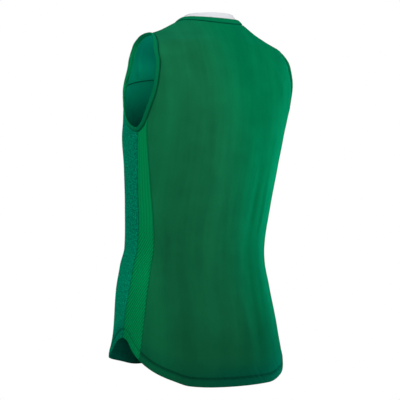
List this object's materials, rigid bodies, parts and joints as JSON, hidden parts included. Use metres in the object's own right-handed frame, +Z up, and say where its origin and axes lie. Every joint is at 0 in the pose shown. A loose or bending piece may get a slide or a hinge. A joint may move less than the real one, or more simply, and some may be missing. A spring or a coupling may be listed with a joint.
{
  "type": "sleeveless sports shirt",
  "caption": "Sleeveless knit sports shirt, filled out as worn, with rib-bound armholes, a two-layer rib neckband, side inserts and a curved shirt-tail hem.",
  "frame": {"origin": "midway between the two points where the shoulder seams meet the neck seam, where the wearer's shoulders carry the shirt", "axes": "+Z up, -Y the front of the shirt, +X the wearer's left"},
  "size_m": [0.3284, 0.274, 0.6616],
  "materials": {
    "smooth_knit": "smooth polyester interlock knit, deep green",
    "textured_knit": "embossed polyester knit, teal green",
    "ribbed_mesh": "diagonal rib mesh knit, bright green",
    "green_rib": "rib knit trim, deep green",
    "white_rib": "rib knit trim, white"
  },
  "bodies": {
    "root": {"back_panel": "smooth_knit", "front_yoke": "smooth_knit", "front_panel": "textured_knit", "side_panel_left": "ribbed_mesh", "side_panel_right": "ribbed_mesh", "armhole_binding_left": "green_rib", "armhole_binding_right": "green_rib", "neckband": "green_rib", "neck_insert": "white_rib"}
  },
  "joints": []
}
